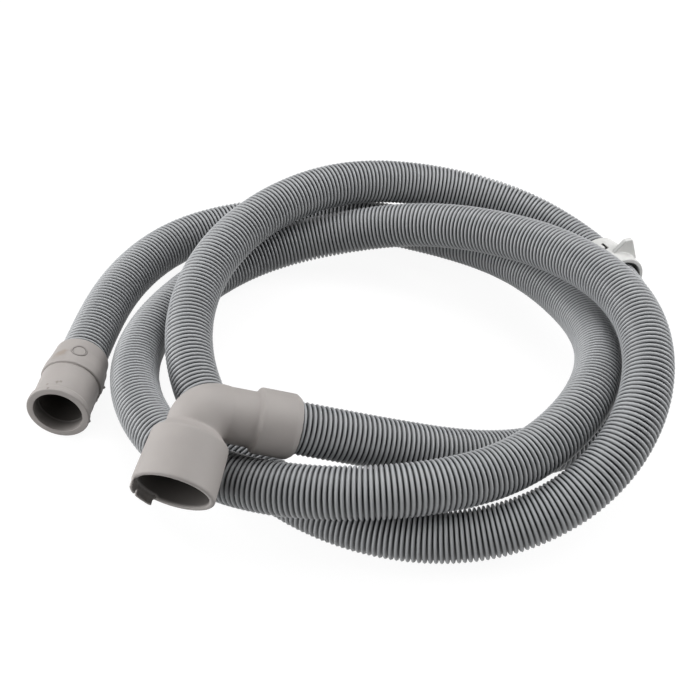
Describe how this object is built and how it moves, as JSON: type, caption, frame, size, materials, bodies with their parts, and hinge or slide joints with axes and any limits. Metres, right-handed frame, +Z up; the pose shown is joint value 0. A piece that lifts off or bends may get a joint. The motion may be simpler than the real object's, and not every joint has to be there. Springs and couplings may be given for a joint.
{
  "type": "dishwasher drain hose",
  "caption": "Ribbed grey drain hose in loose overlapping turns, with a rubber elbow cuff, a straight rubber cuff and a white clip on it",
  "frame": {"origin": "middle of the footprint, on the table under the coiled hose", "axes": "+Z up; the hose lies flat with its longest side along X; both cuff mouths open towards -Y, the elbow at the front left and the clip at the back right"},
  "size_m": [0.2858, 0.2406, 0.0659],
  "materials": {
    "hose_grey": "satin grey polypropylene",
    "cuff_grey": "matte warm grey moulded rubber",
    "clip_white": "satin white moulded plastic"
  },
  "bodies": {
    "root": {"corrugated_hose": "hose_grey", "elbow_cuff": "cuff_grey", "straight_cuff": "cuff_grey", "hose_clip": "clip_white"}
  },
  "joints": []
}
